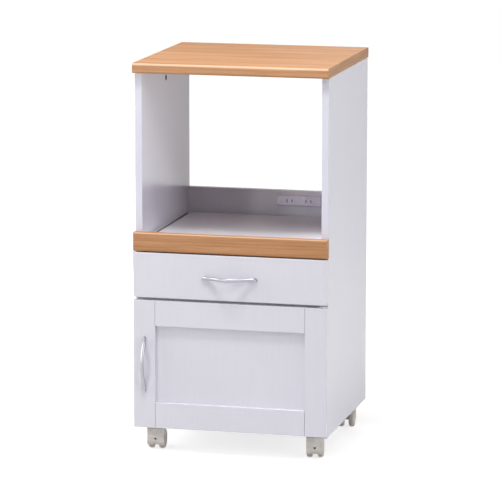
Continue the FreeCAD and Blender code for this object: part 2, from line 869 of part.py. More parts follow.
def magnetic_catch():
    low = Vector(catch_x - catch_width / 2, carcass_front_y, middle_board_z - catch_height)
    high = Vector(catch_x + catch_width / 2, carcass_front_y + catch_depth, middle_board_z)
    catch = block(low, high)
    upright = [edge for edge in catch.Edges if edge.BoundBox.ZLength > catch_height / 2]
    return catch.makeFillet(catch_edge, upright).cut(catch_screws(fit_gap))


def strike_middle():
    return Vector(catch_x, front_back_y, middle_board_z - catch_height / 2)


def strike_peg(gap):
    middle = strike_middle()
    return rod(strike_peg_radius + gap, middle, middle - backward * (strike_peg_length + gap))


def catch_strike():
    """The steel strike on the door's back, held by its peg."""
    reach = Vector(strike_width / 2, 0, strike_height / 2)
    low = strike_middle() - reach
    plate = block(low, strike_middle() + reach + backward * (front_gap - catch_gap))
    return fused([plate, strike_peg(0)])


# Bow handles, made flat against the plane y = 0 with the bow along X
def bow_rise(share):
    """How far the bar's middle stands off at a share of the way from one foot to the other."""
    crest = handle_projection - handle_thickness / 2
    low_point = foot_rise / 2
    return low_point + (crest - low_point) * (1 - math.cos(math.tau * share)) / 2


def bow_section(share):
    """An oval square to the bar at a share of its length."""
    crest = handle_projection - handle_thickness / 2
    slope = (crest - foot_rise / 2) * math.pi / handle_spacing * math.sin(math.tau * share)
    normal = Vector(slope, 1, 0).normalize()
    middle = Vector(handle_spacing * (share - half_share), -bow_rise(share), 0)
    side_point = middle + upward * (handle_width / 2)
    outer_point = middle + normal * (handle_thickness / 2)
    return Part.Wire(Part.Ellipse(side_point, outer_point, middle).toShape())


def bow_handle():
    """A bow between two round feet that lie flat on the front."""
    bar = Part.makeLoft([bow_section(step / bow_steps) for step in range(bow_steps + 1)], True)
    feet = []
    for side in (-1, 1):
        base = Vector(side * handle_spacing / 2, 0, 0)
        foot = rod(foot_width / 2, base, base - backward * foot_rise)
        outer_rim = [edge for edge in foot.Edges if edge.BoundBox.YMax < -foot_rise / 2]
        feet.append(foot.makeFillet(foot_edge, outer_rim))
    return fused([bar] + feet)


def handle_screw_set(gap):
    """Two screws from behind the front into the feet of a handle at the origin."""
    screws = []
    for side in (-1, 1):
        foot = Vector(side * handle_spacing / 2, 0, 0)
        back = foot + backward * front_thickness
        shank = rod(handle_screw_radius + gap, back, foot - backward * (handle_screw_depth + gap))
        head = rod(handle_screw_head_radius, back, back + backward * handle_screw_head)
        screws.append(fused([shank, head]))
    return Part.makeCompound(screws)


def on_drawer(shape):
    return shape.translated(Vector(0, front_face_y, drawer_handle_z))


def on_door(shape):
    place = Vector(door_handle_x, front_face_y, door_handle_z)
    return shape.rotated(Vector(), backward, 90).translated(place)


def drawer_handle_screws(gap):
    return on_drawer(handle_screw_set(gap))


def door_handle_screws(gap):
    return on_door(handle_screw_set(gap))


def threaded_handle():
    return bow_handle().cut(handle_screw_set(fit_gap))


# Casters, made with the stem at the origin and the hood's closed face to the front
def hood_point(radius, angle):
    """A point round the axle; nought degrees is straight ahead and ninety is up."""
    turn = math.radians(angle)
    return axle_middle + Vector(0, -radius * math.cos(turn), radius * math.sin(turn))


def thickened(face, width):
    """A flat side profile given a width across the caster."""
    return face.extrude(across * width).translated(across * (-width / 2))


def hood_outline():
    """Side profile: a round fender whose front wall runs straight up to a flat shoulder round the stem."""
    front_y = axle_middle.y - hood_radius
    corner_sag = hood_corner * (1 - math.sqrt(1 / 2))
    corner_low = Vector(0, front_y, hood_shoulder_z - hood_corner)
    corner_middle = Vector(0, front_y + corner_sag, hood_shoulder_z - corner_sag)
    corner_high = Vector(0, front_y + hood_corner, hood_shoulder_z)
    shoulder_end = Vector(0, axle_middle.y - shoulder_setback, hood_shoulder_z)
    from_axle = shoulder_end - axle_middle
    shoulder_angle = math.degrees(math.atan2(from_axle.z, -from_axle.y))
    tangent_angle = shoulder_angle + math.degrees(math.acos(hood_radius / from_axle.Length))
    back_angle = (tangent_angle + hood_high_angle) / 2
    middle_angle = (hood_low_angle + hood_high_angle) / 2
    inner_low = hood_point(hood_inner_radius, hood_low_angle)
    steps = [
        (hood_point(hood_radius, hood_low_angle / 2), hood_point(hood_radius, 0)),
        corner_low,
        (corner_middle, corner_high),
        shoulder_end,
        hood_point(hood_radius, tangent_angle),
        (hood_point(hood_radius, back_angle), hood_point(hood_radius, hood_high_angle)),
        hood_point(hood_inner_radius, hood_high_angle),
        (hood_point(hood_inner_radius, middle_angle), inner_low),
    ]
    return outline(hood_point(hood_radius, hood_low_angle), steps)


def rim_edges(fender, width):
    """The outer edges of a fender on both of its sides."""
    least = hood_inner_radius + hood_wall * hood_rim_share
    edges = []
    for edge in fender.Edges:
        middle = edge_middle(edge)
        from_axle = Vector(0, middle.y, middle.z) - axle_middle
        on_side = edge.BoundBox.XLength < hood_edge and abs(middle.x) > width / 2 - hood_edge
        if on_side and from_axle.Length > least:
            edges.append(edge)
    return edges


def caster_hood():
    """A fender over both wheels, a middle web with stub axles, and the boss that turns on the kingpin."""
    width = wheel_spacing + 2 * wheel_width
    fender = thickened(hood_outline(), width)
    fender = fender.makeFillet(hood_edge, rim_edges(fender, width))
    middle_angle = (hood_low_angle + hood_high_angle) / 2
    web_radius = hood_inner_radius + hood_wall / 2
    web_arc = (hood_point(web_radius, middle_angle), hood_point(web_radius, hood_high_angle))
    web_width = wheel_spacing - 2 * web_gap
    web = thickened(outline(axle_middle, [hood_point(web_radius, hood_low_angle), web_arc]), web_width)
    hub_reach = across * (web_width / 2)
    hub = rod(hub_radius, axle_middle - hub_reach, axle_middle + hub_reach)
    axle = rod(axle_radius, axle_middle - across * axle_half, axle_middle + across * axle_half)
    boss = rod(boss_radius, Vector(0, 0, hood_shoulder_z - hood_corner), Vector(0, 0, boss_top_z))
    bore_end = plate_bottom_z - collar_height - kingpin_length - end_gap
    bore = rod(kingpin_radius + bearing_gap, Vector(0, 0, boss_top_z + overrun), Vector(0, 0, bore_end))
    hole_z = axle_middle.z + hood_hole_rise
    hole_mouth = Vector(0, axle_middle.y - hood_radius - overrun, hole_z)
    hole = rod(hood_hole_radius, hole_mouth, Vector(0, axle_middle.y - hood_radius + hood_hole_depth, hole_z))
    return fused([fender, web, hub, axle, boss]).cut(bore).cut(hole)


def caster_wheel():
    """The wheel on the right of a caster: rounded tread, dished outer face and a blind hub."""
    inner = wheel_spacing / 2
    outer = inner + wheel_width
    face = outer - wheel_dish
    bore_end = face - wheel_cap
    bore = axle_radius + bearing_gap
    diagonal_share = 1 - math.sqrt(1 / 2)
    inner_sag = wheel_inner_edge * diagonal_share
    outer_sag = wheel_outer_edge * diagonal_share
    inner_middle = Vector(inner + inner_sag, 0, wheel_radius - inner_sag)
    outer_middle = Vector(outer - outer_sag, 0, wheel_radius - outer_sag)
    points = [
        Vector(bore_end, 0, bore),
        Vector(inner, 0, bore),
        Vector(inner, 0, wheel_radius - wheel_inner_edge),
        (inner_middle, Vector(inner + wheel_inner_edge, 0, wheel_radius)),
        Vector(outer - wheel_outer_edge, 0, wheel_radius),
        (outer_middle, Vector(outer, 0, wheel_radius - wheel_outer_edge)),
        Vector(outer, 0, wheel_dish_radius),
        Vector(face, 0, wheel_dish_radius - wheel_dish),
        Vector(face, 0, 0),
    ]
    profile = outline(Vector(bore_end, 0, 0), points)
    return profile.revolve(Vector(), across, 360).translated(axle_middle)


def caster_plates():
    """Four screw-on plates, each with a thrust collar and a kingpin."""
    half = Vector(plate_size / 2, plate_size / 2, 0)
    plates = []
    for spot, turn in casters.values():
        base = spot + upward * plate_bottom_z
        plate = block(base - half, base + half + upward * plate_thickness)
        collar_end = base - upward * collar_height
        collar = rod(collar_radius, collar_end, base)
        kingpin = rod(kingpin_radius, collar_end - upward * kingpin_length, base)
        plates.append(fused([plate, collar, kingpin]).cut(plate_screws(fit_gap)))
    return Part.makeCompound(plates)


def turned(shape, spot, turn):
    return shape.rotated(Vector(), upward, turn).translated(spot)


def caster_nodes():
    """The hood and both wheels of each caster, turned as they stand."""
    hood = caster_hood()
    right_wheel = caster_wheel()
    nodes = {}
    for name, (spot, turn) in casters.items():
        nodes["caster_hood_" + name] = turned(hood, spot, turn)
        nodes["caster_right_wheel_" + name] = turned(right_wheel, spot, turn)
        nodes["caster_left_wheel_" + name] = turned(mirrored(right_wheel), spot, turn)
    return nodes


def all_nodes():
    """Every node of the cabinet by name."""
    handle = threaded_handle()
    nodes = {
        "worktop": worktop(),
        "left_side_panel": left_side_panel(),
        "right_side_panel": right_side_panel(),
        "bottom_board": bottom_board(),
        "middle_board": middle_board(),
        "front_cross_rail": front_cross_rail(),
        "rear_socket_rail": rear_socket_rail(),
        "back_panel": back_panel(),
        "adjustable_shelf": adjustable_shelf(),
        "shelf_pins": shelf_pins(),
        "cam_locks": cams(),
        "cam_bolts": bolts(0, 0),
        "carcass_dowels": dowels(0, 0),
        "carcass_screws": carcass_screws(),
        "socket_housing": socket_housing(),
        "socket_outlets": socket_outlets(),
        "shelf_rails": pair(cabinet_rail(shelf_rail_z)),
        "drawer_rails": pair(cabinet_rail(drawer_rail_z)),
        "hinge_plates": hinge_plates(),
        "magnetic_catch": magnetic_catch(),
        "caster_plates": caster_plates(),
        "caster_screws": plate_screws(0),
        "shelf_board": shelf_board(),
        "shelf_front": shelf_front(),
        "shelf_runners": pair(runner(shelf_rail_z)),
        "shelf_front_rollers": pair(roller(shelf_rail_z, front_roller_y)),
        "shelf_rear_rollers": pair(roller(shelf_rail_z, rear_roller_y)),
        "drawer_front": drawer_front(),
        "drawer_left_side": drawer_side(),
        "drawer_right_side": mirrored(drawer_side()),
        "drawer_back": drawer_back(),
        "drawer_bottom": drawer_bottom(),
        "drawer_handle": on_drawer(handle),
        "drawer_handle_screws": drawer_handle_screws(0),
        "drawer_runners": pair(runner(drawer_rail_z)),
        "drawer_front_rollers": pair(roller(drawer_rail_z, front_roller_y)),
        "drawer_rear_rollers": pair(roller(drawer_rail_z, rear_roller_y)),
        "door_left_stile": door_left_stile(),
        "door_right_stile": door_right_stile(),
        "door_top_rail": door_top_rail(),
        "door_bottom_rail": door_bottom_rail(),
        "door_panel": door_panel(),
        "door_handle": on_door(handle),
        "door_handle_screws": door_handle_screws(0),
        "catch_strike": catch_strike(),
    }
    nodes.update(caster_nodes())
    return nodes


def main():
    os.makedirs("parts", exist_ok=True)
    for name, shape in all_nodes().items():
        shape.exportStep("parts/" + name + ".step")


if __name__ == "__main__":
    main()
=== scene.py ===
import json
import math

import bmesh
import bpy
from mathutils import Matrix, Vector


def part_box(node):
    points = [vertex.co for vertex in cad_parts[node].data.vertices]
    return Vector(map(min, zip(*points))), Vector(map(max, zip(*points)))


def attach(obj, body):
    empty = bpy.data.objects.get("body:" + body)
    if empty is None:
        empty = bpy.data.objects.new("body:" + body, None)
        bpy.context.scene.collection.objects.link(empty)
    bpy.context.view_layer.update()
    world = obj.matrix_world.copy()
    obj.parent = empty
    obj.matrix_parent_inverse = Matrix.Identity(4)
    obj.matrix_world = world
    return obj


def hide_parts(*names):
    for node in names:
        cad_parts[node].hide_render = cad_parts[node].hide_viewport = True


# Kitchen counter cabinet on casters: white foil boards, beech-print top and shelf lip, satin bow handles.
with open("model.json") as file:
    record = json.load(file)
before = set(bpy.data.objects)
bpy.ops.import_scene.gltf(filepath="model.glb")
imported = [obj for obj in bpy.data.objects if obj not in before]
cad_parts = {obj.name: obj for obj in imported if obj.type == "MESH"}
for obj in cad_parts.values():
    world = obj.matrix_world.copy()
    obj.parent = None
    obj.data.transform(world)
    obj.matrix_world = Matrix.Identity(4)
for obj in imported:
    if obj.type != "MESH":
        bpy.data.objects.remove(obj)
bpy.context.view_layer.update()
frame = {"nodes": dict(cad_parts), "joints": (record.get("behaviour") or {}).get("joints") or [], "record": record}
nodes = frame["nodes"]
joints = {joint["name"]: joint for joint in frame["joints"]}

MM = 0.001
corner_names = ("front_left", "front_right", "rear_left", "rear_right")
merge_distance = 0.001 * MM
quarter_turn = math.pi / 2

# Bow handles, in millimetres
handle_sizes = {
    "Spacing": 128.0, "Crest": 24.5, "Foot": 4.0, "Thickness": 6.8, "Width": 8.4,
    "Foot Radius": 4.7, "Foot Height": 7.0,
}
bow_points = 97
round_points = 32
foot_rings = 4
foot_taper = 0.86
handle_voxel = 0.45
handle_easing = 8

# Screws, in millimetres: half sections as (along, radius) points, from the top of the head to the tip
flush_screw = [(0, 0), (0, 3.4), (-0.15, 3.5), (-1.2, 1.75), (-13.8, 1.75), (-13.8, 0)]
plate_screw = [(0, 0), (0, 1.9), (-0.4, 2.9), (-1.1, 3.5), (-2.0, 3.6), (-2.0, 1.6), (-16, 1.6), (-16, 0)]
handle_screw = [(0, 0), (0, 2.0), (-0.5, 3.2), (-1.4, 3.9), (-2.6, 4.0), (-2.6, 1.9), (-26, 1.9), (-26, 0)]
screw_crease = 35
screw_end_reach = 0.2
recess_depth = 1.3
recess_width = 1.0
recess_rise = 0.4
recess_mouth_share = 0.62
recess_floor_share = 0.3
recess_floor_narrowing = 0.6
recess_seed = 7

# Caster wheels, in millimetres. The groove is given as (from the inner face, depth) points, and the hub as
# (below the outer face, radius) points.
wheel_radius = 25.0
wheel_half_width = 7.5
wheel_bore = 3.05
wheel_bore_end = 3.5
wheel_steps = 72
wheel_crease = 32
inner_round = 5.0
outer_round = 6.0
tyre_groove = [(6.4, 0.0), (6.7, 0.5), (7.3, 0.5), (7.6, 0.0)]
rim_radius = 18.6
rim_round = 0.6
dish_radius = 16.2
dish_depth = 1.5
dish_round = 1.0
hub_ring = [(1.5, 8.2), (1.2, 7.8), (0.5, 7.4)]
hub_radius = 6.6
hub_depth = 0.9
hub_round = 0.5
hub_face = [(0.5, 3.0), (0.5, 0)]

# Patterns of the finishes, in millimetres, and how far some are drawn out along an axis
foil_drift = 160
foil_stroke = 6
foil_stretch = (1, 1, 0.06)
chip_size = 2.2
beech_band = 26
band_stretch = (0.05, 1, 1)
beech_line = 3.4
line_stretch = (0.022, 1, 1)
fleck_stretch = (0.14, 1, 1)
moulding_drift = 14
felt_size = 3
hardboard_drift = 70
# The foil's emboss is about 0.3 mm, and beech flecks are about 0.4 mm wide. Both are drawn coarser, so that
# they show at all.
foil_emboss = 2.5
beech_fleck = 2

# Parts of a normal along an axis, past which a face counts as looking that way
raw_edge_limit = 0.9
end_band_limit = 0.7
back_face_limit = 0.5

# Beech print: shares of the colours that are mixed in, and the slants between which a painted highlight pales the
# nose
grain_share = 0.7
fleck_share = 0.22
end_band_share = 0.22
nose_highlight_share = 0.5
nose_highlight_start = -0.15
nose_highlight_full = -0.5
worktop_highlight_lean = 0.2

# Painted shade: the outlets' white face is this thick before it begins, and the shelf's rails stay unshaded this
# near to the panels
outlet_face = 0.3 * MM
unshaded_rail_width = 1.4 * MM

# Camera, at the photograph's viewing angle, in metres
camera_place = Vector((1.88624, -7.5872, 1.8824))
camera_yaw = math.radians(13.98)
camera_pitch = math.radians(10.2)
camera_lens = 232.99
sensor_width = 36
view_limit = 100

# Softboxes: place, target and size in metres, power in watts
middle = (0, 0, 0.5)
bay = (0, 0, 0.6)
softboxes = {
    "overhead_softbox": ((0, -0.35, 2.6), (0, -0.1, 0.9), (1.2, 1.0), 13.5),
    "steep_front_softbox": ((-0.1, -1.05, 2.9), (0, -0.1, 0.6), (0.4, 0.4), 32),
    "left_front_softbox": ((-1.66, -2.6, 1.6), middle, (0.3, 0.4), 14),
    "low_left_front_softbox": ((-1.15, -2.6, 0.9), bay, (0.2, 0.4), 7.5),
    "left_softbox": ((-3.0, -0.6, 1.6), middle, (1.4, 1.6), 54),
    "right_high_softbox": ((1.4, -2.0, 2.7), bay, (0.6, 0.6), 19.5),
    "right_front_softbox": ((2.6, -1.6, 1.2), bay, (1.0, 1.2), 14),
    "right_softbox": ((3.0, -0.3, 1.4), middle, (1.4, 1.6), 19),
    "back_softbox": ((0.1, 2.2, 1.3), (0, 0, 0.7), (1.0, 0.5), 4),
    "back_left_softbox": ((-0.9, 2.2, 0.4), (0, 0.2, 0.4), (0.8, 0.4), 13),
}
# From the front left the smooth side panels would mirror this low lamp as one white glare.
unmirrored_softbox = "back_left_softbox"
world_fill = 0.005

# Floor, in metres. The lamps reach less far than the view, so the floor's own white rises between these
# distances from the object.
floor_half = 12.0
floor_lift_start = 0.6
floor_lift_end = 2.6
floor_lift = 0.7


# Shared helpers
def per(millimetres):
    """Texture scale at which one feature of a pattern measures this much."""
    return 1 / (millimetres * MM)


def linear(colour):
    """An sRGB hex colour as linear RGBA."""
    shares = [int(colour[start:start + 2], 16) / 255 for start in (1, 3, 5)]
    return [share / 12.92 if share <= 0.04045 else ((share + 0.055) / 1.055) ** 2.4 for share in shares] + [1]


# A Mix node has its factor at 0, numbers at 2 and 3, vectors at 4 and 5, and colours at 6 and 7.
def add(tree, kind, inputs=(), stops=(), **settings):
    """Adds a node. Settings are its own properties, inputs are values or sockets to link, by name or number,
    and stops are a colour ramp's (position, hex colour) pairs."""
    node = tree.nodes.new(kind)
    for name, value in settings.items():
        setattr(node, name, value)
    for key, value in dict(inputs).items():
        if isinstance(value, bpy.types.NodeSocket):
            tree.links.new(value, node.inputs[key])
        else:
            node.inputs[key].default_value = value
    if stops:
        elements = node.color_ramp.elements
        while len(elements) < len(stops):
            elements.new(1)
        for element, (position, colour) in zip(elements, stops):
            element.position = position
            element.color = linear(colour)
    return node


def blank_material(name):
    material = bpy.data.materials.new(name)
    material.use_nodes = True
    material.node_tree.nodes.clear()
    return material, material.node_tree


def linked(name, mesh):
    """A new object of this mesh, or lamp or camera, in the scene."""
    piece = bpy.data.objects.new(name, mesh)
    bpy.context.scene.collection.objects.link(piece)
    return piece


def settled(piece):
    """Turns a piece with modifiers into one plain mesh."""
    shaped = piece.evaluated_get(bpy.context.evaluated_depsgraph_get())
    mesh = bpy.data.meshes.new_from_object(shaped)
    piece.modifiers.clear()
    piece.data = mesh
    return piece


def blank_tree(name, sizes):
    """An empty Geometry Nodes tree with a named input for each size."""
    tree = bpy.data.node_groups.new(name, "GeometryNodeTree")
    tree.interface.new_socket("Geometry", in_out="INPUT", socket_type="NodeSocketGeometry")
    for label in sizes:
        tree.interface.new_socket(label, in_out="INPUT", socket_type="NodeSocketFloat")
    tree.interface.new_socket("Geometry", in_out="OUTPUT", socket_type="NodeSocketGeometry")
    return tree, tree.nodes.new("NodeGroupInput").outputs


def grown(name, mesh, tree, sizes):
    """Runs a tree on a mesh, with its sizes given in millimetres, and keeps the result as a plain mesh."""
    piece = linked(name, mesh)
    step = piece.modifiers.new("shape", "NODES")
    step.node_group = tree
    for socket in tree.interface.items_tree:
        if socket.name in sizes:
            step[socket.identifier] = sizes[socket.name] * MM
    return settled(piece)


def spun(name, profile, steps):
    """A closed solid of revolution about X from (along, radius) points in millimetres."""
    shape = bmesh.new()
    points = [shape.verts.new((along * MM, 0, radius * MM)) for along, radius in profile]
    edges = [shape.edges.new(pair) for pair in zip(points, points[1:])]
    bmesh.ops.spin(
        shape, geom=points + edges, cent=(0, 0, 0), axis=(1, 0, 0), angle=math.tau, steps=steps,
        use_merge=True,
    )
    bmesh.ops.remove_doubles(shape, verts=shape.verts, dist=merge_distance)
    bmesh.ops.recalc_face_normals(shape, faces=shape.faces)
    mesh = bpy.data.meshes.new(name)
    shape.to_mesh(mesh)
    shape.free()
    return mesh


def smooth_by_angle(piece, degrees):
    """Shades a piece smooth, but keeps edges sharper than this crisp."""
    mesh = piece.data
    mesh.polygons.foreach_set("use_smooth", [True] * len(mesh.polygons))
    shape = bmesh.new()
    shape.from_mesh(mesh)
    for edge in shape.edges:
        edge.smooth = len(edge.link_faces) == 2 and edge.calc_face_angle() < math.radians(degrees)
    shape.to_mesh(mesh)
    shape.free()


# Materials
def white_foil(name, light, shade, raw_edges):
    """Printed paper foil on chipboard: a cool satin white with faint upright strokes and a soft emboss.
    With raw edges, the cuts at the back and below show the chips."""
    material, tree = blank_material(name)
    place = add(tree, "ShaderNodeTexCoord").outputs["Object"]
    drift = add(tree, "ShaderNodeTexNoise", {"Vector": place, "Scale": per(foil_drift), "Detail": 3})
    upright = add(tree, "ShaderNodeMapping", {"Vector": place, "Scale": foil_stretch})
    strokes = add(tree, "ShaderNodeTexNoise", {
        "Vector": upright.outputs[0], "Scale": per(foil_stroke), "Detail": 3,
    })
    both = add(tree, "ShaderNodeMath", {0: drift.outputs[0], 1: strokes.outputs[0]}, operation="ADD")
    half = add(tree, "ShaderNodeMath", {0: both.outputs[0], 1: 0.5}, operation="MULTIPLY")
    tone = add(tree, "ShaderNodeValToRGB", {0: half.outputs[0]}, [(0.3, shade), (0.68, light)])
    colour = tone.outputs[0]
    emboss = add(tree, "ShaderNodeTexNoise", {"Vector": place, "Scale": per(foil_emboss), "Detail": 2})
    satin_range = add(tree, "ShaderNodeMapRange", {
        "Value": emboss.outputs[0], "To Min": 0.17, "To Max": 0.27,
    })
    roughness = satin_range.outputs[0]
    if raw_edges:
        normal = add(tree, "ShaderNodeNewGeometry").outputs["True Normal"]
        facing = add(tree, "ShaderNodeSeparateXYZ", {0: normal}).outputs
        backward = add(tree, "ShaderNodeMath", {0: facing["Y"], 1: raw_edge_limit}, operation="GREATER_THAN")
        downward = add(tree, "ShaderNodeMath", {0: facing["Z"], 1: -raw_edge_limit}, operation="LESS_THAN")
        raw = add(tree, "ShaderNodeMath", {
            0: backward.outputs[0], 1: downward.outputs[0],
        }, operation="MAXIMUM").outputs[0]
        chips = add(tree, "ShaderNodeTexVoronoi", {"Vector": place, "Scale": per(chip_size), "Randomness": 1})
        grey = add(tree, "ShaderNodeSeparateColor", {0: chips.outputs["Color"]})
        board = add(tree, "ShaderNodeValToRGB", {0: grey.outputs[0]}, [
            (0.0, "#8A6A48"), (0.5, "#B08F66"), (1.0, "#CDB28A"),
        ])
        mixed = add(tree, "ShaderNodeMix", {0: raw, 6: colour, 7: board.outputs[0]}, data_type="RGBA")
        colour = mixed.outputs[2]
        roughness = add(tree, "ShaderNodeMix", {0: raw, 2: roughness, 3: 0.85}).outputs[0]
    bump = add(tree, "ShaderNodeBump", {"Height": emboss.outputs[0], "Strength": 0.05, "Distance": 0.2 * MM})
    shader = add(tree, "ShaderNodeBsdfPrincipled", {
        "Base Color": colour, "Roughness": roughness, "IOR": 1.48, "Normal": bump.outputs[0],
    })
    add(tree, "ShaderNodeOutputMaterial", {0: shader.outputs[0]})
    return material


def beech_print(name, highlight_lean):
    """Beech-print laminate: matt, with fine straight grain along the width and short dark flecks.
    A painted highlight pales the slanted nose, and a lean above 0 spreads it onto an upright front face too."""
    material, tree = blank_material(name)
    place = add(tree, "ShaderNodeTexCoord").outputs["Object"]
    geometry = add(tree, "ShaderNodeNewGeometry").outputs
    facing = add(tree, "ShaderNodeSeparateXYZ", {0: geometry["True Normal"]}).outputs
    sideways = add(tree, "ShaderNodeMath", {0: facing["X"]}, operation="ABSOLUTE")
    on_end = add(tree, "ShaderNodeMath", {
        0: sideways.outputs[0], 1: end_band_limit,
    }, operation="GREATER_THAN").outputs[0]
    # The end bands are cut along the depth, so their grain runs along Y.
    turned = add(tree, "ShaderNodeMapping", {"Vector": place, "Rotation": (0, 0, quarter_turn)})
    along = add(tree, "ShaderNodeMix", {
        0: on_end, 4: place, 5: turned.outputs[0],
    }, data_type="VECTOR").outputs[1]
    band_way = add(tree, "ShaderNodeMapping", {"Vector": along, "Scale": band_stretch})
    broad = add(tree, "ShaderNodeTexNoise", {
        "Vector": band_way.outputs[0], "Scale": per(beech_band), "Detail": 4, "Roughness": 0.55,
        "Distortion": 0.35,
    })
    line_way = add(tree, "ShaderNodeMapping", {"Vector": along, "Scale": line_stretch})
    fine = add(tree, "ShaderNodeTexNoise", {
        "Vector": line_way.outputs[0], "Scale": per(beech_line), "Detail": 3,
    }).outputs[0]
    fleck_way = add(tree, "ShaderNodeMapping", {"Vector": along, "Scale": fleck_stretch})
    flecks = add(tree, "ShaderNodeTexNoise", {
        "Vector": fleck_way.outputs[0], "Scale": per(beech_fleck), "Detail": 1,
    })
    bands = add(tree, "ShaderNodeValToRGB", {0: broad.outputs[0]}, [
        (0.3, "#B5835B"), (0.5, "#C4926A"), (0.7, "#CF9F78"),
    ])
    lines = add(tree, "ShaderNodeValToRGB", {0: fine}, [(0.33, "#E2DBD5"), (0.6, "#FFFFFF")])
    grained = add(tree, "ShaderNodeMix", {
        0: grain_share, 6: bands.outputs[0], 7: lines.outputs[0],
    }, data_type="RGBA", blend_type="MULTIPLY")
    fleck_mask = add(tree, "ShaderNodeMapRange", {
        "Value": flecks.outputs[0], "From Min": 0.62, "From Max": 0.72,
    })
    flecked = add(tree, "ShaderNodeMath", {0: fleck_mask.outputs[0], 1: fleck_share}, operation="MULTIPLY")
    wood = add(tree, "ShaderNodeMix", {
        0: flecked.outputs[0], 6: grained.outputs[2], 7: linear("#8E6340"),
    }, data_type="RGBA")
    # Painted highlight: the nose is paled where it slants up and forward, and the end bands are a paler print.
    bent = add(tree, "ShaderNodeSeparateXYZ", {0: geometry["Normal"]}).outputs
    upward = add(tree, "ShaderNodeMath", {0: bent["Z"], 1: highlight_lean}, operation="ADD")
    slant = add(tree, "ShaderNodeMath", {0: bent["Y"], 1: upward.outputs[0]}, operation="MULTIPLY")
    nose = add(tree, "ShaderNodeMapRange", {
        "Value": slant.outputs[0], "From Min": nose_highlight_start, "From Max": nose_highlight_full, "To Max": nose_highlight_share,
    })
    end_band = add(tree, "ShaderNodeMath", {0: on_end, 1: end_band_share}, operation="MULTIPLY")
    pale = add(tree, "ShaderNodeMath", {0: nose.outputs[0], 1: end_band.outputs[0]}, operation="MAXIMUM")
    colour = add(tree, "ShaderNodeMix", {
        0: pale.outputs[0], 6: wood.outputs[2], 7: linear("#F6D9BE"),
    }, data_type="RGBA")
    roughness = add(tree, "ShaderNodeMapRange", {"Value": fine, "To Min": 0.6, "To Max": 0.5})
    bump = add(tree, "ShaderNodeBump", {"Height": fine, "Strength": 0.06, "Distance": 0.2 * MM})
    shader = add(tree, "ShaderNodeBsdfPrincipled", {
        "Base Color": colour.outputs[2], "Roughness": roughness.outputs[0], "IOR": 1.5,
        "Normal": bump.outputs[0], "Specular IOR Level": 0.05,
    })
    add(tree, "ShaderNodeOutputMaterial", {0: shader.outputs[0]})
    return material


def plain_metal(name, light, dark, roughness, grain):
    """A cast or plated metal with a fine grain that breaks its highlight up."""
    material, tree = blank_material(name)
    place = add(tree, "ShaderNodeTexCoord").outputs["Object"]
    mottle = add(tree, "ShaderNodeTexNoise", {
        "Vector": place, "Scale": per(grain), "Detail": 3,
    }).outputs[0]
    colour = add(tree, "ShaderNodeValToRGB", {0: mottle}, [(0.3, dark), (0.7, light)])
    rough = add(tree, "ShaderNodeMapRange", {
        "Value": mottle, "To Min": roughness * 0.8, "To Max": roughness * 1.2,
    })
    bump = add(tree, "ShaderNodeBump", {"Height": mottle, "Strength": 0.08, "Distance": 0.1 * MM})
    shader = add(tree, "ShaderNodeBsdfPrincipled", {
        "Base Color": colour.outputs[0], "Metallic": 1.0, "Roughness": rough.outputs[0],
        "Normal": bump.outputs[0],
    })
    add(tree, "ShaderNodeOutputMaterial", {0: shader.outputs[0]})
    return material


def moulded_plastic(name, light, dark, roughness, ior, grain, shade_zone=None):
    """A moulded or coated skin with a fine grain, slightly uneven in tone. An optional zone, given as
    (axis, test, limit), gets painted shade: a near-black colour where the distance along that axis passes the
    test."""
    material, tree = blank_material(name)
    place = add(tree, "ShaderNodeTexCoord").outputs["Object"]
    drift = add(tree, "ShaderNodeTexNoise", {
        "Vector": place, "Scale": per(moulding_drift), "Detail": 4,
    }).outputs[0]
    colour = add(tree, "ShaderNodeValToRGB", {0: drift}, [(0.35, dark), (0.65, light)]).outputs[0]
    if shade_zone:
        axis, test, limit = shade_zone
        parts = add(tree, "ShaderNodeSeparateXYZ", {0: place})
        reach = add(tree, "ShaderNodeMath", {0: parts.outputs[axis]}, operation="ABSOLUTE")
        past = add(tree, "ShaderNodeMath", {0: reach.outputs[0], 1: limit}, operation=test)
        # Painted shade: near-black stands in for the shadow deep in slots and gaps.
        painted_shade = add(tree, "ShaderNodeValToRGB", {0: drift}, [(0.35, "#15130F"), (0.65, "#221E1A")])
        colour = add(tree, "ShaderNodeMix", {
            0: past.outputs[0], 6: colour, 7: painted_shade.outputs[0],
        }, data_type="RGBA").outputs[2]
    pits = add(tree, "ShaderNodeTexNoise", {"Vector": place, "Scale": per(grain), "Detail": 2})
    rough = add(tree, "ShaderNodeMapRange", {
        "Value": pits.outputs[0], "To Min": roughness - 0.07, "To Max": roughness + 0.07,
    })
    bump = add(tree, "ShaderNodeBump", {"Height": pits.outputs[0], "Strength": 0.12, "Distance": 0.15 * MM})
    shader = add(tree, "ShaderNodeBsdfPrincipled", {
        "Base Color": colour, "Roughness": rough.outputs[0], "IOR": ior, "Normal": bump.outputs[0],
    })
    add(tree, "ShaderNodeOutputMaterial", {0: shader.outputs[0]})
    return material


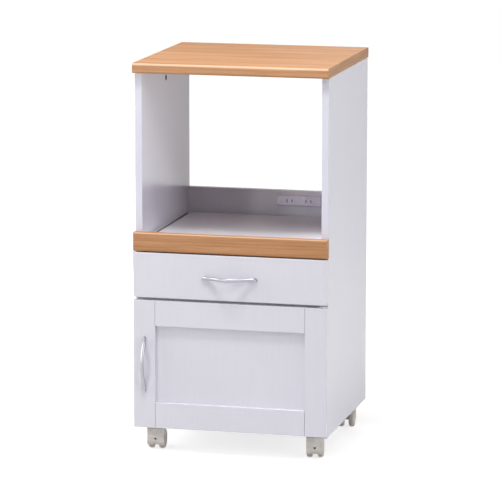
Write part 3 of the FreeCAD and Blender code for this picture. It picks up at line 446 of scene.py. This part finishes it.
def fibre_board():
    """Hardboard: white print on the face, felted brown fibre on the back."""
    material, tree = blank_material("printed_hardboard")
    place = add(tree, "ShaderNodeTexCoord").outputs["Object"]
    normal = add(tree, "ShaderNodeNewGeometry").outputs["True Normal"]
    facing = add(tree, "ShaderNodeSeparateXYZ", {0: normal}).outputs
    back = add(tree, "ShaderNodeMath", {
        0: facing["Y"], 1: back_face_limit,
    }, operation="GREATER_THAN").outputs[0]
    felt = add(tree, "ShaderNodeTexNoise", {
        "Vector": place, "Scale": per(felt_size), "Detail": 6, "Roughness": 0.7,
    }).outputs[0]
    drift = add(tree, "ShaderNodeTexNoise", {"Vector": place, "Scale": per(hardboard_drift), "Detail": 3})
    brown = add(tree, "ShaderNodeValToRGB", {0: felt}, [
        (0.3, "#8C6A47"), (0.5, "#A5825C"), (0.7, "#B8966E"),
    ])
    white = add(tree, "ShaderNodeValToRGB", {0: drift.outputs[0]}, [(0.35, "#D6D4DC"), (0.65, "#DEDCE4")])
    colour = add(tree, "ShaderNodeMix", {
        0: back, 6: white.outputs[0], 7: brown.outputs[0],
    }, data_type="RGBA")
    roughness = add(tree, "ShaderNodeMix", {0: back, 2: 0.45, 3: 0.85})
    bump = add(tree, "ShaderNodeBump", {"Height": felt, "Strength": 0.15, "Distance": 0.2 * MM})
    shader = add(tree, "ShaderNodeBsdfPrincipled", {
        "Base Color": colour.outputs[2], "Roughness": roughness.outputs[0], "IOR": 1.48,
        "Normal": bump.outputs[0],
    })
    add(tree, "ShaderNodeOutputMaterial", {0: shader.outputs[0]})
    return material


# Boards: satin white foil, and warm matt beech print
front_white = white_foil("white_foil_board", "#DFDDE6", "#DBD9E2", False)
panel_white = white_foil("white_foil_panel", "#DEDDEA", "#DAD9E6", True)
beech = beech_print("beech_print_laminate", 0)
beech_top = beech_print("beech_print_worktop", worktop_highlight_lean)
hardboard = fibre_board()

# Metals: a soft grey shine on the handles, mottled plating on small steel, near-black castings
satin = plain_metal("satin_nickel_casting", "#AEAEB5", "#94949C", 0.32, 1.2)
zinc = plain_metal("zinc_plated_steel", "#C4C6CA", "#9EA1A8", 0.34, 5)
dark_zinc = plain_metal("dark_zinc_casting", "#2B2826", "#1A1817", 0.5, 2)

# Skins with a dull gloss: powder coat, urea, nylon, caster plastic and dowel wood
white_steel = moulded_plastic("white_powder_coat", "#DCDBE2", "#D2D1D8", 0.4, 1.5, 1.4)
socket_white = moulded_plastic("white_urea_moulding", "#EAE6F6", "#E2DEEE", 0.35, 1.5, 1.2)
nylon = moulded_plastic("milky_nylon", "#E4E2DC", "#D8D6CF", 0.4, 1.53, 1.5)
greige = moulded_plastic("greige_polypropylene", "#E6E1DA", "#D8D1C9", 0.42, 1.49, 1.3)
dowel = moulded_plastic("beech_dowel_wood", "#D8B88E", "#C09A6C", 0.7, 1.5, 1.6)

# Painted shade: behind their face the outlets are painted near-black, for the shadow deep in their slots.
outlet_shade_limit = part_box("socket_outlets")[0].y + outlet_face
outlet_white = moulded_plastic(
    "white_urea_outlet_painted_shade", "#EAE6F6", "#E2DEEE", 0.35, 1.5, 1.2, ("Y", "GREATER_THAN", outlet_shade_limit),
)
# Painted shade: away from the panels the shelf's rails are painted near-black, for the shaded gap beside the
# sliding shelf.
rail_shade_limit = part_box("shelf_rails")[1].x - unshaded_rail_width
shaded_rail = moulded_plastic(
    "powder_coat_painted_shade", "#E6E5EC", "#DCDBE2", 0.35, 1.5, 1.4, ("X", "LESS_THAN", rail_shade_limit),
)

slot_materials = {
    "white_board": front_white, "beech_board": beech, "dowel_wood": dowel, "satin_metal": satin,
    "white_steel": white_steel, "zinc_steel": zinc, "dark_zinc": dark_zinc, "white_plastic": socket_white,
    "roller_nylon": nylon, "caster_plastic": greige,
}
node_materials = {
    "left_side_panel": panel_white, "right_side_panel": panel_white, "back_panel": hardboard,
    "socket_outlets": outlet_white, "shelf_rails": shaded_rail, "worktop": beech_top,
}


def dress_frame():
    """Gives every node of the frame the finish of its slot, or its own."""
    for part in frame["record"]["subparts"]:
        name = part["node"]
        finish = node_materials.get(name, slot_materials[part["material_slot"]])
        for slot in nodes[name].material_slots:
            slot.material = finish


# Bow handles: a raised-cosine bow of oval section between two round feet
def bow_tree():
    """Draws the bow along X, standing off the plane y = 0 towards -Y."""
    tree, size = blank_tree("bow_handle", handle_sizes)
    half = add(tree, "ShaderNodeMath", {0: size["Spacing"], 1: 0.5}, operation="MULTIPLY")
    other_half = add(tree, "ShaderNodeMath", {0: size["Spacing"], 1: -0.5}, operation="MULTIPLY")
    start = add(tree, "ShaderNodeCombineXYZ", {0: other_half.outputs[0]})
    end = add(tree, "ShaderNodeCombineXYZ", {0: half.outputs[0]})
    line = add(tree, "GeometryNodeCurvePrimitiveLine", {"Start": start.outputs[0], "End": end.outputs[0]})
    stepped = add(tree, "GeometryNodeResampleCurve", {"Curve": line.outputs[0], "Count": bow_points})
    along = add(tree, "GeometryNodeSplineParameter")
    turn = add(tree, "ShaderNodeMath", {0: along.outputs["Factor"], 1: math.tau}, operation="MULTIPLY")
    wave = add(tree, "ShaderNodeMath", {0: turn.outputs[0]}, operation="COSINE")
    share = add(tree, "ShaderNodeMath", {0: wave.outputs[0], 1: -0.5, 2: 0.5}, operation="MULTIPLY_ADD")
    climb = add(tree, "ShaderNodeMath", {0: size["Foot"], 1: size["Crest"]}, operation="SUBTRACT")
    rise = add(tree, "ShaderNodeMath", {0: climb.outputs[0], 1: share.outputs[0]}, operation="MULTIPLY")
    stand_off = add(tree, "ShaderNodeMath", {0: rise.outputs[0], 1: size["Foot"]}, operation="SUBTRACT")
    offset = add(tree, "ShaderNodeCombineXYZ", {1: stand_off.outputs[0]})
    bowed = add(tree, "GeometryNodeSetPosition", {
        "Geometry": stepped.outputs[0], "Offset": offset.outputs[0],
    })
    level = add(tree, "GeometryNodeSetCurveNormal", {"Curve": bowed.outputs[0]}, mode="Z_UP")
    ring = add(tree, "GeometryNodeCurvePrimitiveCircle", {"Resolution": round_points, "Radius": 0.5})
    oval = add(tree, "ShaderNodeCombineXYZ", {0: size["Thickness"], 1: size["Width"], 2: 1.0})
    section = add(tree, "GeometryNodeTransform", {"Geometry": ring.outputs[0], "Scale": oval.outputs[0]})
    bar = add(tree, "GeometryNodeCurveToMesh", {
        "Curve": level.outputs[0], "Profile Curve": section.outputs[0], "Fill Caps": True,
    })
    ends = add(tree, "GeometryNodeMeshLine", {
        "Count": 2, "Start Location": start.outputs[0], "Offset": end.outputs[0],
    }, mode="END_POINTS")
    narrow = add(tree, "ShaderNodeMath", {0: size["Foot Radius"], 1: foot_taper}, operation="MULTIPLY")
    foot = add(tree, "GeometryNodeMeshCone", {
        "Vertices": round_points, "Side Segments": foot_rings, "Radius Top": narrow.outputs[0],
        "Radius Bottom": size["Foot Radius"], "Depth": size["Foot Height"],
    })
    feet = add(tree, "GeometryNodeInstanceOnPoints", {
        "Points": ends.outputs[0], "Instance": foot.outputs[0], "Rotation": (quarter_turn, 0, 0),
    })
    joined = add(tree, "GeometryNodeJoinGeometry", {0: bar.outputs[0]})
    tree.links.new(feet.outputs[0], joined.inputs[0])
    whole = add(tree, "GeometryNodeRealizeInstances", {0: joined.outputs[0]})
    finished = add(tree, "GeometryNodeSetMaterial", {"Geometry": whole.outputs[0], "Material": satin})
    add(tree, "NodeGroupOutput", {0: finished.outputs[0]})
    return tree


def add_handle(tree, node, body, upright):
    """Casts bar and feet into one smooth piece where the frame has its handle."""
    low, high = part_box(node)
    centre = (low + high) / 2
    handle = grown("bow_" + node, bpy.data.meshes.new(node), tree, handle_sizes)
    turn = Matrix.Rotation(quarter_turn, 4, "Y") if upright else Matrix()
    handle.data.transform(Matrix.Translation((centre.x, high.y, centre.z)) @ turn)
    cast = handle.modifiers.new("cast", "REMESH")
    cast.mode = "VOXEL"
    cast.voxel_size = handle_voxel * MM
    cast.use_smooth_shade = True
    ease = handle.modifiers.new("ease", "SMOOTH")
    ease.iterations = handle_easing
    settled(handle)
    handle.data.materials.clear()
    handle.data.materials.append(satin)
    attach(handle, body)
    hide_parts(node)


# Screws: one cross-recessed head for each kind, set on the places where the frame has its screws
def screw_places(node):
    """Top of the head and outward way of each screw in a node of the frame."""
    shape = bmesh.new()
    shape.from_mesh(nodes[node].data)
    bmesh.ops.remove_doubles(shape, verts=shape.verts, dist=merge_distance)
    unseen = set(shape.verts)
    places = []
    # Vertices are taken in mesh order, so the screws come in the same order each run.
    for start in shape.verts:
        if start not in unseen:
            continue
        unseen.remove(start)
        island = [start]
        for vert in island:
            for edge in vert.link_edges:
                other = edge.other_vert(vert)
                if other in unseen:
                    unseen.remove(other)
                    island.append(other)
        points = [vert.co.copy() for vert in island]
        low = Vector([min(values) for values in zip(*points)])
        high = Vector([max(values) for values in zip(*points)])
        centre = (low + high) / 2
        axis = max(range(3), key=lambda number: high[number] - low[number])
        # The head is the end whose points lie furthest from the screw's axis.
        spread = {}
        for end in (low[axis], high[axis]):
            near = [point for point in points if abs(point[axis] - end) < screw_end_reach * MM]
            spread[end] = max((point - centre).length_squared - (end - centre[axis]) ** 2 for point in near)
        head = max(spread, key=spread.get)
        outward = Vector((0, 0, 0))
        outward[axis] = 1 if head > centre[axis] else -1
        top = centre.copy()
        top[axis] = head
        places.append((top, outward))
    shape.free()
    return places


def screw_blank(name, profile):
    """A screw that faces +Z from the origin: a turned body with a cross recess pressed into its head."""
    body = linked(name, spun(name, profile, round_points))
    body.data.transform(Matrix.Rotation(-quarter_turn, 4, "Y"))
    widest = max(radius for along, radius in profile)
    cutter = bmesh.new()
    for turn in (0, quarter_turn):
        corners = bmesh.ops.create_cube(cutter, size=1)["verts"]
        for corner in corners:
            at_mouth = corner.co.z > 0
            corner.co.x *= 2 * widest * (recess_mouth_share if at_mouth else recess_floor_share) * MM
            corner.co.y *= recess_width * (1 if at_mouth else recess_floor_narrowing) * MM
            corner.co.z = (recess_rise if at_mouth else -recess_depth) * MM
        bmesh.ops.rotate(cutter, verts=corners, cent=(0, 0, 0), matrix=Matrix.Rotation(turn, 3, "Z"))
    recess = linked(name + "_recess", bpy.data.meshes.new(name + "_recess"))
    cutter.to_mesh(recess.data)
    cutter.free()
    cut = body.modifiers.new("recess", "BOOLEAN")
    cut.object = recess
    cut.use_self = True
    settled(body)
    bpy.data.objects.remove(recess)
    smooth_by_angle(body, screw_crease)
    return body


def screw_tree(blank, finish):
    """Sets one screw on each point, turned to the point's way, with its recess at any angle."""
    tree, size = blank_tree("set_screws", {})
    blank_shape = add(tree, "GeometryNodeObjectInfo", {"Object": blank})
    way = add(tree, "GeometryNodeInputNamedAttribute", {"Name": "way"}, data_type="FLOAT_VECTOR")
    spin = add(tree, "FunctionNodeRandomValue", {2: 0.0, 3: math.tau, "Seed": recess_seed})
    turned = add(tree, "ShaderNodeCombineXYZ", {2: spin.outputs[1]})
    aligned = add(tree, "FunctionNodeAlignRotationToVector", {"Vector": way.outputs[0]}, axis="Z")
    facing = add(tree, "FunctionNodeRotateRotation", {
        0: aligned.outputs[0], 1: turned.outputs[0],
    }, rotation_space="LOCAL")
    set_in = add(tree, "GeometryNodeInstanceOnPoints", {
        "Points": size["Geometry"], "Instance": blank_shape.outputs["Geometry"],
        "Rotation": facing.outputs[0],
    })
    whole = add(tree, "GeometryNodeRealizeInstances", {0: set_in.outputs[0]})
    finished = add(tree, "GeometryNodeSetMaterial", {"Geometry": whole.outputs[0], "Material": finish})
    add(tree, "NodeGroupOutput", {0: finished.outputs[0]})
    return tree


def add_screws(node, body, profile):
    """Replaces a node of plain screws by recessed ones in the same places."""
    places = screw_places(node)
    mesh = bpy.data.meshes.new(node)
    mesh.from_pydata([top for top, outward in places], [], [])
    ways = mesh.attributes.new("way", "FLOAT_VECTOR", "POINT")
    ways.data.foreach_set("vector", [part for top, outward in places for part in outward])
    blank = screw_blank(node + "_blank", profile)
    screws = grown("recessed_" + node, mesh, screw_tree(blank, zinc), {})
    bpy.data.objects.remove(blank)
    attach(screws, body)
    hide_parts(node)


# Caster wheels: turned shapes with a tyre groove, a dished face and a hub ring
def arc_points(along, radius, reach, start, end, steps):
    """Points (along, radius) on an arc round a centre, from one angle to another in degrees."""
    turns = [math.radians(start + (end - start) * step / steps) for step in range(steps + 1)]
    return [(along + reach * math.cos(turn), radius + reach * math.sin(turn)) for turn in turns]


def wheel_profile():
    """Half section of a wheel: the axle's bore on the inner side, a closed dished face on the outer side."""
    inner, outer = -wheel_half_width, wheel_half_width
    inner_edge = (inner + inner_round, wheel_radius - inner_round, inner_round)
    outer_edge = (outer - outer_round, wheel_radius - outer_round, outer_round)
    profile = [(wheel_bore_end, 0), (wheel_bore_end, wheel_bore), (inner, wheel_bore)]
    profile += arc_points(*inner_edge, start=180, end=90, steps=9)
    profile += [(inner + along, wheel_radius - depth) for along, depth in tyre_groove]
    profile += arc_points(*outer_edge, start=90, end=0, steps=10)
    profile += arc_points(outer - rim_round, rim_radius, rim_round, start=0, end=-60, steps=3)
    dish_along = outer - dish_depth + dish_round
    profile += arc_points(dish_along, dish_radius, dish_round, start=120, end=180, steps=4)
    profile += [(outer - depth, radius) for depth, radius in hub_ring]
    profile += arc_points(outer - hub_depth, hub_radius, hub_round, start=40, end=-20, steps=2)
    profile += [(outer - depth, radius) for depth, radius in hub_face]
    return profile


def add_wheels():
    """Two turned wheels for each caster, their closed faces outwards."""
    mould = spun("caster_wheel", wheel_profile(), wheel_steps)
    upward = Vector((0, 0, 1))
    for corner in corner_names:
        for side, sign in (("left", -1), ("right", 1)):
            body = side + "_wheel_" + corner
            joint = joints[body + "_spin"]
            outward = Vector(joint["axis"]) * sign
            turn = Matrix((outward, upward.cross(outward), upward)).transposed().to_4x4()
            wheel = linked("turned_" + body, mould.copy())
            wheel.data.transform(Matrix.Translation(joint["pos_m"]) @ turn)
            smooth_by_angle(wheel, wheel_crease)
            wheel.data.materials.append(greige)
            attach(wheel, body)
            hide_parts("caster_" + side + "_wheel_" + corner)


# Camera, light and floor
def aim(thing, gaze):
    """Turns a lamp or the camera to look this way, with its top up."""
    thing.rotation_mode = "QUATERNION"
    thing.rotation_quaternion = gaze.to_track_quat("-Z", "Y")


def add_camera():
    data = bpy.data.cameras.new("camera")
    data.lens = camera_lens
    data.sensor_width = sensor_width
    data.clip_end = view_limit
    camera = linked("camera", data)
    camera.location = camera_place
    level = math.cos(camera_pitch)
    across = -math.sin(camera_yaw) * level
    onward = math.cos(camera_yaw) * level
    aim(camera, Vector((across, onward, -math.sin(camera_pitch))))
    bpy.context.scene.camera = camera


def add_lights():
    for name, (place, target, size, power) in softboxes.items():
        data = bpy.data.lights.new(name, "AREA")
        data.shape = "RECTANGLE"
        data.size, data.size_y = size
        data.energy = power
        lamp = linked(name, data)
        lamp.location = place
        aim(lamp, Vector(target) - Vector(place))
        lamp.visible_glossy = name != unmirrored_softbox


def plain_sight(tree):
    """1 for rays from the eye, straight or by way of a mirror or glass, and 0 for all others."""
    path = add(tree, "ShaderNodeLightPath").outputs
    mirrored = add(tree, "ShaderNodeMath", {
        0: path["Is Camera Ray"], 1: path["Is Glossy Ray"],
    }, operation="MAXIMUM")
    seen = add(tree, "ShaderNodeMath", {
        0: mirrored.outputs[0], 1: path["Is Transmission Ray"],
    }, operation="MAXIMUM")
    return seen.outputs[0]


def add_world():
    """A pale studio: even light on the object, plain white to the eye and in reflections."""
    world = bpy.data.worlds.new("studio")
    world.use_nodes = True
    tree = world.node_tree
    tree.nodes.clear()
    fill = add(tree, "ShaderNodeBackground", {"Color": linear("#FFFFFF"), "Strength": world_fill})
    white = add(tree, "ShaderNodeBackground", {"Color": linear("#FFFFFF"), "Strength": 1.0})
    mixed = add(tree, "ShaderNodeMixShader", {0: plain_sight(tree), 1: fill.outputs[0], 2: white.outputs[0]})
    add(tree, "ShaderNodeOutputWorld", {0: mixed.outputs[0]})
    bpy.context.scene.world = world


def add_floor():
    """A wide pale floor that shows white and keeps the soft shadow of the object."""
    mesh = bpy.data.meshes.new("floor")
    corners = [(x * floor_half, y * floor_half, 0) for x, y in ((-1, -1), (1, -1), (1, 1), (-1, 1))]
    mesh.from_pydata(corners, [], [(0, 1, 2, 3)])
    floor = linked("floor", mesh)
    material, tree = blank_material("pale_studio_floor")
    matt = add(tree, "ShaderNodeBsdfDiffuse", {"Color": linear("#D2D2D2")})
    place = add(tree, "ShaderNodeTexCoord").outputs["Object"]
    reach = add(tree, "ShaderNodeVectorMath", {0: place}, operation="LENGTH")
    lift = add(tree, "ShaderNodeMapRange", {
        "Value": reach.outputs["Value"], "From Min": floor_lift_start, "From Max": floor_lift_end,
        "To Min": floor_lift, "To Max": 1.0,
    })
    glow = add(tree, "ShaderNodeEmission", {"Color": linear("#FFFFFF"), "Strength": lift.outputs[0]})
    lifted = add(tree, "ShaderNodeAddShader", {0: matt.outputs[0], 1: glow.outputs[0]})
    mixed = add(tree, "ShaderNodeMixShader", {0: plain_sight(tree), 1: matt.outputs[0], 2: lifted.outputs[0]})
    add(tree, "ShaderNodeOutputMaterial", {0: mixed.outputs[0]})
    mesh.materials.append(material)


dress_frame()
handle_tree = bow_tree()
add_handle(handle_tree, "drawer_handle", "drawer", False)
add_handle(handle_tree, "door_handle", "door", True)
add_screws("carcass_screws", "carcass", flush_screw)
add_screws("caster_screws", "carcass", plate_screw)
add_screws("drawer_handle_screws", "drawer", handle_screw)
add_screws("door_handle_screws", "door", handle_screw)
add_wheels()
add_camera()
add_lights()
add_world()
add_floor()
bpy.context.scene.view_settings.view_transform = "Standard"
